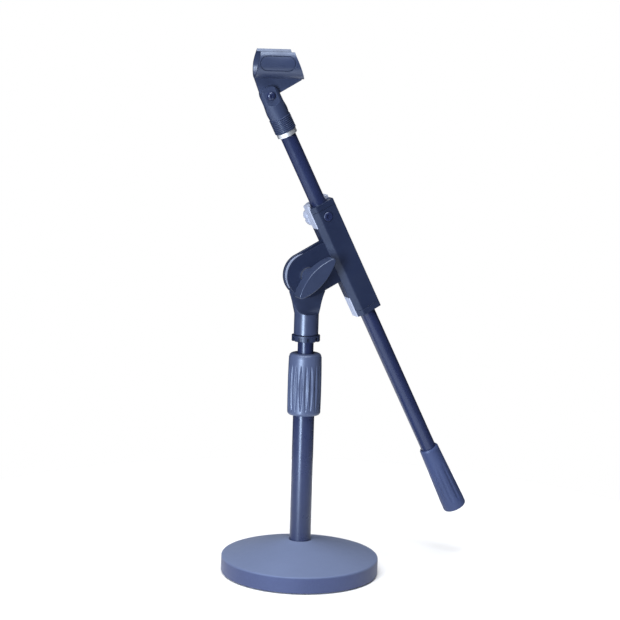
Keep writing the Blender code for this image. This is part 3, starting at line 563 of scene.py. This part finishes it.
def make_clutch():
    top_edge = arc(CLUTCH_RADIUS - 0.0042, CLUTCH_TOP - 0.0032, 0.0032, 90, 0, 8)
    side = []
    for i in range(64):
        height = CLUTCH_TOP - 0.0040 + (0.1672 - CLUTCH_TOP + 0.0040) * i / 63
        bow = 1 - ((height - 0.1900) / 0.036) ** 2
        side.append((CLUTCH_RADIUS - 0.0007 + 0.0006 * max(bow, 0.0), height))
    lip = [
        (CLUTCH_RADIUS - 0.0004, 0.1666),
        (CLUTCH_RADIUS - 0.0006, 0.1658),
        (CLUTCH_RADIUS - 0.0014, CLUTCH_BOTTOM),
    ]
    inside = [
        (OUTER_TUBE_RADIUS + 0.0008, CLUTCH_BOTTOM),
        (OUTER_TUBE_RADIUS + 0.0005, CLUTCH_BOTTOM + 0.0003),
        (OUTER_TUBE_RADIUS + 0.0005, 0.1700),
        (0.0137, 0.1706),
        (0.0137, COLLET_BOTTOM + 0.0035),
        (0.0110, COLLET_TOP + 0.0005),
        (INNER_TUBE_RADIUS + 0.0007, COLLET_TOP + 0.0005),
        (INNER_TUBE_RADIUS + 0.0007, CLUTCH_TOP - 0.0004),
        (INNER_TUBE_RADIUS + 0.0011, CLUTCH_TOP),
    ]

    def fluted(angle, radius, height):
        if radius < CLUTCH_RADIUS - 0.0016:
            return radius
        return radius - flute_depth(angle, height)

    grip = turned(
        "fluted_clutch_nut",
        [*top_edge, *side, *lip, *inside],
        steps=FLUTE_COUNT * 16,
        ring=True,
        shape=fluted,
    )
    stands_for(grip, "clutch_grip", LOOKS["clutch_plastic"], sharp=48)


# ---------------------------------------------------------------- sliding mast and neck


def make_inner_mast():
    inner = turned(
        "upper_tube",
        tube_profile(INNER_TUBE_RADIUS, INNER_TUBE_BORE, INNER_TUBE_BOTTOM, INNER_TUBE_TOP),
        ring=True,
    )
    stands_for(inner, "inner_tube", LOOKS["tube_paint"])
    ring = turned(
        "notched_ring",
        tube_profile(RING_RADIUS, INNER_TUBE_RADIUS + GAP, RING_BOTTOM, RING_TOP),
        ring=True,
        steps=120,
    )
    notches = []
    for i in range(10):
        turn = Matrix.Rotation(math.radians(-100 + 36 * i), 4, "Z")
        notches.append(
            block(
                "notch", (0.0122, -0.0019, RING_BOTTOM - 0.001), (0.016, 0.0019, RING_BOTTOM + 0.0042), turn
            )
        )
    cut(ring, *notches)
    stands_for(ring, "lock_ring", LOOKS["dark_plastic"], bevel=0.0003)


def make_neck():
    bore = INNER_TUBE_RADIUS + GAP
    bottom = RING_TOP + GAP
    flare = []
    for i in range(9):
        t = i / 8
        radius = NECK_RADIUS + (NECK_CONE_RADIUS - NECK_RADIUS) * (0.72 * t + 0.28 * t * t)
        flare.append((radius, NECK_CONE_START + (NECK_CONE_TOP - NECK_CONE_START) * t))
    profile = [
        (0, TILT_HEIGHT - 0.006),
        (NECK_CONE_RADIUS - 0.001, TILT_HEIGHT - 0.006),
        *reversed(flare),
        (NECK_RADIUS, 0.2560),
        (NECK_RADIUS, bottom + 0.0006),
        (NECK_RADIUS - 0.0006, bottom),
        (bore, bottom),
        (bore, INNER_TUBE_TOP + GAP),
        (INNER_TUBE_BORE, INNER_TUBE_TOP + GAP),
        (INNER_TUBE_BORE, 0.2625),
        (0, 0.2625),
    ]
    neck = turned("flared_neck", profile, steps=112)
    half = TONGUE_THICKNESS / 2
    scoop_top = TILT_HEIGHT - EAR_RADIUS + 0.0005
    scoop = []
    for angle in range(0, 91, 5):
        a = math.radians(angle)
        scoop.append(
            (
                NECK_RADIUS + 0.0002 - (NECK_RADIUS - half) * math.sin(a),
                scoop_top - (scoop_top - NECK_CONE_START) * math.cos(a),
            )
        )
    right = [(0.030, 0.240), (0.030, NECK_CONE_START), *scoop, (half, TILT_HEIGHT + 0.001)]
    left = [(-y, z) for y, z in reversed(right)]
    side_on = Matrix(((0, 0, 1, 0), (1, 0, 0, 0), (0, 1, 0, 0), (0, 0, 0, 1)))
    envelope = plate("envelope", right + left, -0.030, 0.030, side_on)
    at_tilt = TILT_POINT @ FRONTAL
    keep_inside(neck, envelope)
    unite(neck, rod("head", EAR_RADIUS - 0.0028, -half, half, at_tilt, 112))
    cut(neck, rod("hole", TILT_BOLT_RADIUS + 0.0004, -0.02, 0.02, at_tilt, 48))
    stands_for(neck, "swivel_neck", LOOKS["neck_paint"], bevel=0.0004)

    inner = half + GAP
    count = 72

    def toothed(angle, radius, height):
        if radius < EAR_RADIUS - 0.0016:
            return radius
        return radius - 0.00045 * (0.5 + 0.5 * math.cos(count * angle))

    for name, side in (("front_friction_disc", FRONTAL), ("rear_friction_disc", REARWARD)):
        disc = turned(
            name.replace("friction", "toothed"),
            tube_profile(
                EAR_RADIUS - 0.0008, TILT_BOLT_RADIUS + 0.0004, inner, inner + DISC_THICKNESS, 0.00025
            ),
            TILT_POINT @ side,
            steps=count * 6,
            ring=True,
            shape=toothed,
        )
        stands_for(disc, name, LOOKS["disc_nylon"], sharp=40)


# ---------------------------------------------------------------- boom holder
LINER_HALF_LENGTH = SLEEVE_HALF_LENGTH - END_CAP_LENGTH - GAP
BACK_HALF_LENGTH = SLEEVE_HALF_LENGTH - BUSH_LENGTH - GAP
CAP_SCREW = (0.0090, -0.0076)


def half_section(side):
    """Half of the sleeve's section, in front of (-1) or behind (+1) its parting line."""
    corners = [
        (SLEEVE_LEFT, GAP / 2),
        (SLEEVE_LEFT, SLEEVE_SIDE_HALF),
        (SLEEVE_FLAT_LEFT, SLEEVE_HALF_DEPTH),
        (SLEEVE_RIGHT, SLEEVE_HALF_DEPTH),
        (SLEEVE_RIGHT, GAP / 2),
    ]
    return [(x, side * y) for x, y in rounded(corners, 0.0013, 5)]


def bush_section():
    """The back half of the section, with a flank that wraps round the side facing the mast."""
    outline = half_section(1)
    inner = SLEEVE_LEFT + FLANK_THICKNESS
    return [
        (SLEEVE_LEFT + 0.0006, -FLANK_REACH),
        (SLEEVE_LEFT, -FLANK_REACH + 0.0006),
        *outline[1:],
        (inner, GAP / 2),
        (inner, -FLANK_REACH),
    ]


def flank_pocket(low, high):
    """Room in the front half for the flank of a bush."""
    return block(
        "pocket",
        (SLEEVE_LEFT - 0.002, -FLANK_REACH - GAP, low),
        (SLEEVE_LEFT + FLANK_THICKNESS + GAP, 0.002, high),
        SLEEVE,
    )


def ear(name, thickness, side):
    reach = BOOM_OFFSET - 0.0090
    outline = [(reach, -EAR_RADIUS), (reach, EAR_RADIUS), *arc(0, 0, EAR_RADIUS, 90, 270, 64)]
    return plate(name, outline, EAR_INNER, EAR_INNER + thickness, TILT @ side)


def liner_bore():
    reach = LINER_HALF_LENGTH + GAP
    return rod("bore", SLEEVE_BORE, -reach, reach, SLEEVE)


def boom_hole():
    return rod("hole", BOOM_RADIUS + 0.0006, -0.070, 0.070, SLEEVE, 96)


def bolt_hole():
    return rod("bolt_hole", TILT_BOLT_RADIUS + GAP, -0.02, 0.02, TILT @ FRONTAL, 48)


def make_holder():
    reach = LINER_HALF_LENGTH
    front = plate("sleeve_front", half_section(-1), -reach, reach, SLEEVE)
    unite(front, ear("ear", FRONT_EAR_THICKNESS, FRONTAL))
    cut(
        front,
        liner_bore(),
        bolt_hole(),
        rod("recess", 0.0052, SLEEVE_HALF_DEPTH - 0.0009, 0.0200, LOCK @ FRONTAL),
        rod("screw_hole", 0.0026, 0.0050, 0.0160, LOCK @ FRONTAL, 32),
        flank_pocket(BACK_HALF_LENGTH, 0.070),
        flank_pocket(-0.070, -BACK_HALF_LENGTH),
    )
    stands_for(front, "holder_front", LOOKS["dark_plastic"], bevel=0.0005)

    back = plate("sleeve_back", half_section(1), -BACK_HALF_LENGTH, BACK_HALF_LENGTH, SLEEVE)
    unite(back, ear("ear", BACK_EAR_THICKNESS, REARWARD))
    cut(back, liner_bore(), bolt_hole())
    stands_for(back, "holder_back", LOOKS["dark_plastic"], bevel=0.0005)

    inner = SLEEVE_HALF_LENGTH - BUSH_LENGTH
    for name, low, high in (
        ("upper_bush", inner, SLEEVE_HALF_LENGTH + BUSH_RISE),
        ("lower_bush", -SLEEVE_HALF_LENGTH, -inner),
    ):
        bush = plate(name.replace("bush", "nylon_block"), bush_section(), low, high, SLEEVE)
        cut(bush, liner_bore(), boom_hole())
        if name == "upper_bush":
            cut(bush, rod("lock_hole", 0.0034, 0.0050, 0.030, LOCK @ REARWARD, 40))
        stands_for(bush, name, LOOKS["grey_nylon"], bevel=0.0005)

    inner = SLEEVE_HALF_LENGTH - END_CAP_LENGTH
    for end, low, high, sign in (
        ("upper", inner, SLEEVE_HALF_LENGTH, 1),
        ("lower", -SLEEVE_HALF_LENGTH, -inner, -1),
    ):
        cap = plate(end + "_cap", half_section(-1), low, high, SLEEVE)
        cut(cap, boom_hole(), flank_pocket(-0.070, 0.070))
        out = Matrix.Rotation(0 if sign > 0 else math.pi, 4, "X")
        spot = SLEEVE @ Matrix.Translation((*CAP_SCREW, sign * SLEEVE_HALF_LENGTH)) @ out
        cut(
            cap,
            rod("shank", 0.0016, -0.0140, 0.001, spot, 24),
            rod("counterbore", 0.0029, -0.0018 - GAP, 0.001, spot, 40),
        )
        stands_for(cap, end + "_end_cap", LOOKS["dark_plastic"], bevel=0.0004)


# ---------------------------------------------------------------- tilt knob, lock knob


def wing_outline():
    """A leaf: two shallow arcs that meet in small round tips."""
    tip = 0.0024
    reach = KNOB_HALF_LENGTH - tip
    bulge = KNOB_HALF_WIDTH - tip
    radius = (reach**2 + bulge**2) / (2 * bulge) + tip
    sweep = math.degrees(math.atan2(reach, radius - tip - bulge))
    upper = arc(0, KNOB_HALF_WIDTH - radius, radius, 90 - sweep, 90 + sweep, 32)
    left = arc(-reach, 0, tip, 90 + sweep, 270 - sweep, 10)
    lower = [(-x, -y) for x, y in upper]
    right = [(-x, -y) for x, y in left]
    return upper + left[1:-1] + lower + right[1:-1]


def make_wing_knob():
    turn = TILT @ FRONTAL @ Matrix.Rotation(math.radians(KNOB_ANGLE), 4, "Z")
    back = EAR_INNER + FRONT_EAR_THICKNESS + GAP + 0.0012 + GAP
    knob = plate("winged_knob", wing_outline(), KNOB_WING_BACK, KNOB_FRONT, turn)
    round_edges(knob, 0.0010)
    bore = TILT_BOLT_RADIUS + GAP
    cut(knob, rod("bolt_pocket", bore, KNOB_WING_BACK - 0.001, KNOB_FRONT - 0.0070, turn, 80))
    top = KNOB_WING_BACK + 0.0060
    step = back + 0.0065
    boss = turned(
        "boss",
        [
            (bore, top),
            (0.0085, top),
            (0.0085, back + 0.0008),
            (0.0077, back),
            (0.0064, back),
            (0.0064, step),
            (bore, step),
        ],
        turn,
        80,
        ring=True,
    )
    unite(knob, boss)
    stands_for(knob, "wing_knob", LOOKS["knob_plastic"])


def make_lock_knob():
    seat = SLEEVE_HALF_DEPTH + GAP
    radius = LOCK_KNOB_RADIUS
    profile = [
        (0, seat + 0.0130),
        (0.0060, seat + 0.0130),
        (0.0070, seat + 0.0124),
        (0.0085, seat + 0.0124),
        (0.0092, seat + 0.0130),
        *arc(radius - 0.0020, seat + 0.0110, 0.0020, 90, 0, 6),
        (radius, seat + 0.0080),
        (radius, seat + 0.0045),
        (radius - 0.0004, seat + 0.0036),
        (radius - 0.0015, seat + 0.0030),
        (0.0074, seat + 0.0026),
        (0.0070, seat + 0.0022),
        (0.0070, seat),
        (0.0035, seat),
        (0.0035, seat + 0.0110),
        (0, seat + 0.0110),
    ]

    def scalloped(angle, reach, height):
        if reach < radius - 0.0025:
            return reach
        wave = max(math.cos(8 * angle), 0.0) ** 2
        return reach - 0.0012 * wave * smooth_step(radius - 0.0025, radius, reach)

    knob = turned("round_lock_knob", profile, LOCK @ REARWARD, 192, shape=scalloped)
    stands_for(knob, "boom_lock_knob", LOOKS["grey_nylon"], sharp=42)


# ---------------------------------------------------------------- boom


def make_boom():
    tube = turned(
        "boom_pole", tube_profile(BOOM_RADIUS, BOOM_BORE, BOOM_BOTTOM, BOOM_TOP), BOOM, ring=True
    )
    stands_for(tube, "boom_tube", LOOKS["tube_paint"])
    bottom = BOOM_TOP + GAP
    ring = turned(
        "bright_ring",
        tube_profile(TIP_RING_RADIUS, 0.0077, bottom, bottom + TIP_RING_LENGTH, 0.0006),
        BOOM,
        ring=True,
    )
    stands_for(ring, "tip_ring", LOOKS["bright_ring"], sharp=50)

    outer = [(BOOM_RADIUS + GAP, GRIP_TOP), (0.0091, GRIP_TOP), (0.0100, GRIP_TOP - 0.0015)]
    for i in range(1, 40):
        t = i / 40
        height = GRIP_TOP - 0.0015 + (GRIP_BOTTOM + 0.0080 - GRIP_TOP + 0.0015) * t
        outer.append((0.0100 + 0.0022 * t, height))
    outer += [
        (0.0122, GRIP_BOTTOM + 0.0080),
        (0.0122, GRIP_BOTTOM + 0.0030),
        *arc(0.0104, GRIP_BOTTOM + 0.0018, 0.0018, 0, -90, 6),
        (0.0060, GRIP_BOTTOM),
        (0.0050, GRIP_BOTTOM + 0.0008),
        (0, GRIP_BOTTOM + 0.0008),
    ]
    inside = [(0, BOOM_BOTTOM - GAP), (BOOM_RADIUS + GAP, BOOM_BOTTOM - GAP)]

    def grooved(angle, radius, height):
        if radius < 0.0098:
            return radius
        ends = smooth_step(GRIP_BOTTOM + 0.0085, GRIP_BOTTOM + 0.0125, height)
        ends *= 1 - smooth_step(GRIP_TOP - 0.034, GRIP_TOP - 0.014, height)
        wave = max(math.cos(10 * angle + 0.6), 0.0) ** 0.8
        return radius - 0.00065 * ends * wave

    grip = turned("counter_grip", inside + outer, BOOM, 240, shape=grooved)
    stands_for(grip, "boom_grip", LOOKS["grip_rubber"], sharp=45)


# ---------------------------------------------------------------- mic clip


def make_clip_base():
    bottom = BOOM_TOP + GAP + TIP_RING_LENGTH + GAP
    insert_top = bottom + 0.0175
    ribs = []
    for i in range(COLLAR_RIBS):
        top = bottom + 0.0150 - i * RIB_PITCH
        ribs += [
            (COLLAR_RADIUS - 0.0010, top),
            (COLLAR_RADIUS - 0.0002, top - 0.0004),
            (COLLAR_RADIUS - 0.0002, top - 0.0010),
            (COLLAR_RADIUS - 0.0010, top - 0.0014),
        ]
    collar = turned(
        "ribbed_clip_base",
        [
            (0, CLIP_PIVOT + 0.012),
            (0.0115, CLIP_PIVOT + 0.012),
            (0.0115, CLIP_PIVOT - 0.0110),
            (0.0104, bottom + 0.0165),
            *ribs,
            (COLLAR_RADIUS - 0.0002, bottom + 0.0004),
            (COLLAR_RADIUS - 0.0006, bottom),
            (0.0090, bottom),
            (0.0090, insert_top + GAP),
            (0, insert_top + GAP),
        ],
        CLIP,
        steps=96,
    )
    fork = [
        (COLLAR_RADIUS + 0.001, bottom - 0.005),
        (COLLAR_RADIUS + 0.001, bottom + 0.0100),
        (FORK_HALF_WIDTH, CLIP_PIVOT - 0.0090),
        *arc(0, CLIP_PIVOT, FORK_HALF_WIDTH, 0, 180, 40),
        (-FORK_HALF_WIDTH, CLIP_PIVOT - 0.0090),
        (-COLLAR_RADIUS - 0.001, bottom + 0.0100),
        (-COLLAR_RADIUS - 0.001, bottom - 0.005),
    ]
    keep_inside(collar, plate("envelope", fork, -0.015, 0.015, CLIP @ FRONTAL))
    at_pivot = CLIP @ Matrix.Translation((0, 0, CLIP_PIVOT)) @ FRONTAL
    slot = block(
        "slot",
        (-0.015, -FORK_SLOT / 2, CLIP_PIVOT - 0.0110),
        (0.015, FORK_SLOT / 2, CLIP_PIVOT + 0.020),
        CLIP,
    )
    cutters = [slot, rod("hole", PIVOT_RADIUS + GAP, -0.02, 0.02, at_pivot, 40)]
    cheek = [(-0.0165, 0.020), *arc(0, -0.0005, 0.0094, 180, 360, 32), (0.0165, 0.020)]
    for low, high in ((FORK_DEPTH, 0.020), (-0.020, -FORK_DEPTH)):
        cutters.append(plate("cheek", cheek, low, high, at_pivot))
    cut(collar, *cutters)
    stands_for(collar, "clip_base", LOOKS["clip_plastic"], bevel=0.00025)

    face = FORK_DEPTH + GAP
    screw = turned(
        "pivot_screw_head",
        [
            (0, face + 0.0026),
            *arc(0.0012, face - 0.0008, 0.0034, 78, 12, 8),
            (0.0044, face),
            (PIVOT_RADIUS, face),
            (PIVOT_RADIUS, -face - 0.0040),
            (0, -face - 0.0040),
        ],
        at_pivot,
        48,
    )
    bars = [
        block("bar", (-0.0021, -0.0004, face + 0.0016), (0.0021, 0.0004, face + 0.004), at_pivot),
        block("bar", (-0.0004, -0.0021, face + 0.0016), (0.0004, 0.0021, face + 0.004), at_pivot),
    ]
    cut(screw, *bars)
    stands_for(screw, "pivot_screw", LOOKS["tube_paint"], bevel=0.0001)


def stadium(centre_x, centre_y, half_length, radius, count=20):
    straight = half_length - radius
    return [
        *arc(centre_x + straight, centre_y, radius, -90, 90, count),
        *arc(centre_x - straight, centre_y, radius, 90, 270, count),
    ]


def make_clip_jaw():
    """An open C that holds the microphone, on a wedge-shaped lug."""
    opening = JAW_OPENING
    outer = arc(0, JAW_CENTRE, JAW_RADIUS, 90 + opening, 450 - opening, 96)
    inner = arc(0, JAW_CENTRE, JAW_BORE, 450 - opening - 2, 90 + opening + 2, 96)
    along = Matrix(((0, 0, 1, 0), (1, 0, 0, 0), (0, 1, 0, 0), (0, 0, 0, 1)))
    jaw = plate("c_shaped_jaw", outer + inner, -0.025, 0.040, JAW @ along)
    side_cut = rounded(
        [
            (0.0000, 0.0100),
            (0.0332, 0.0100),
            (0.0332, 0.0150),
            (0.0262, 0.0310),
            (0.0207, 0.0430),
            (0.0205, 0.0600),
            (-0.0105, 0.0600),
            (-0.0122, 0.0430),
            (-0.0150, 0.0300),
            (-0.0166, 0.0100),
        ],
        0.0040,
        4,
    )
    keep_inside(jaw, plate("envelope", side_cut, -0.030, 0.030, JAW @ FRONTAL))
    boss = FORK_HALF_WIDTH - 0.0006
    lug_outline = [
        (-0.0152, 0.0178),
        (-0.0156, 0.0156),
        *arc(0, 0, boss, 200, 374, 40),
        (0.0305, 0.0156),
        (0.0295, 0.0178),
    ]
    half_lug = FORK_SLOT / 2 - GAP
    unite(jaw, plate("lug", lug_outline, -half_lug, half_lug, JAW @ FRONTAL))
    panel = (0.0046, JAW_CENTRE)
    groove = plate("groove", stadium(*panel, 0.0176, 0.0075), 0.010, 0.022, JAW @ FRONTAL)
    island = plate("island", stadium(*panel, 0.0165, 0.0064), 0.009, 0.023, JAW @ FRONTAL)
    across = JAW @ Matrix.Translation((0, 0, JAW_CENTRE)) @ Matrix.Rotation(math.radians(90), 4, "Y")
    core = rod("core", JAW_RADIUS - 0.0008, -0.04, 0.04, across, 96)
    cut(groove, island, core)
    cut(jaw, groove, rod("hole", PIVOT_RADIUS + GAP, -0.02, 0.02, JAW @ FRONTAL, 40))
    stands_for(jaw, "clip_jaw", LOOKS["clip_plastic"], bevel=0.0003)


make_base()
make_outer_mast()
make_clutch()
make_inner_mast()
make_neck()
make_holder()
make_wing_knob()
make_lock_knob()
make_boom()
make_clip_base()
make_clip_jaw()

# ---------------------------------------------------------------- studio


def make_floor():
    profile = [(0.0, -0.0002), (0.2, -0.0002), (0.5, -0.0002)]
    floor = turned("floor", profile, MAST, 64)
    look = bpy.data.materials.new("pale_floor")
    look.use_nodes = True
    shader = look.node_tree.nodes["Principled BSDF"]
    shader.inputs["Base Color"].default_value = (0.90, 0.90, 0.91, 1)
    shader.inputs["Roughness"].default_value = 0.9
    shader.inputs["Specular IOR Level"].default_value = 0.0
    floor.data.materials.append(look)


def soft_light(name, azimuth, elevation, distance, size, power, color=(1, 1, 1)):
    """A softbox aimed at the middle of the stand. Azimuth 0 is in front of it and 90 on its right."""
    light = bpy.data.lights.new(name, "AREA")
    light.shape = "RECTANGLE"
    light.size, light.size_y = size
    light.energy = power
    light.color = color
    obj = bpy.data.objects.new(name, light)
    bpy.context.scene.collection.objects.link(obj)
    a, e = math.radians(azimuth), math.radians(elevation)
    away = Vector((math.sin(a) * math.cos(e), -math.cos(a) * math.cos(e), math.sin(e)))
    obj.location = Vector((0.0, 0.0, 0.26)) + away * distance
    obj.rotation_mode = "QUATERNION"
    obj.rotation_quaternion = away.to_track_quat("Z", "Y")
    obj.visible_camera = False


def make_lights():
    world = bpy.data.worlds.new("studio")
    bpy.context.scene.world = world
    world.use_nodes = True
    tree = world.node_tree
    sky = tree.nodes["Background"]
    sky.inputs["Color"].default_value = (0.94, 0.96, 1.0, 1)
    sky.inputs["Strength"].default_value = 0.05
    backdrop = tree.nodes.new("ShaderNodeBackground")
    backdrop.inputs["Color"].default_value = (1, 1, 1, 1)
    backdrop.inputs["Strength"].default_value = 1.0
    path = tree.nodes.new("ShaderNodeLightPath")
    pick = tree.nodes.new("ShaderNodeMixShader")
    tree.links.new(path.outputs["Is Camera Ray"], pick.inputs[0])
    tree.links.new(sky.outputs[0], pick.inputs[1])
    tree.links.new(backdrop.outputs[0], pick.inputs[2])
    tree.links.new(pick.outputs[0], tree.nodes["World Output"].inputs[0])

    overhead = bpy.data.lights.new("overhead", "SUN")
    overhead.energy = 3.6
    overhead.angle = math.radians(60)
    sun = bpy.data.objects.new("overhead", overhead)
    bpy.context.scene.collection.objects.link(sun)
    sun.rotation_mode = "QUATERNION"
    sun.rotation_quaternion = Vector((-0.25, -0.30, 1.0)).to_track_quat("Z", "Y")
    soft_light("key", -52, -1, 2.2, (0.55, 1.3), 72, (0.82, 0.90, 1.0))
    soft_light("front_top", -20, 60, 1.5, (0.35, 0.35), 6, (0.90, 0.95, 1.0))


def make_camera():
    data = bpy.data.cameras.new("camera")
    data.sensor_width = 36.0
    data.lens = 104.35
    data.clip_end = 50.0
    camera = bpy.data.objects.new("camera", data)
    bpy.context.scene.collection.objects.link(camera)
    turn, rise, roll = math.radians(23.5), math.radians(8.465), math.radians(1.681)
    target = Vector((0.003055, -0.001328, 0.27059))
    back = Vector((-math.sin(turn) * math.cos(rise), -math.cos(turn) * math.cos(rise), math.sin(rise)))
    level = Vector((math.cos(turn), -math.sin(turn), 0))
    upright = back.cross(level)
    right = level * math.cos(roll) + upright * math.sin(roll)
    up = back.cross(right)
    axes = Matrix((right, up, back)).transposed().to_4x4()
    camera.matrix_world = Matrix.Translation(target + back * 1.8) @ axes
    bpy.context.scene.camera = camera


make_floor()
make_lights()
make_camera()
bpy.context.scene.view_settings.view_transform = "Standard"
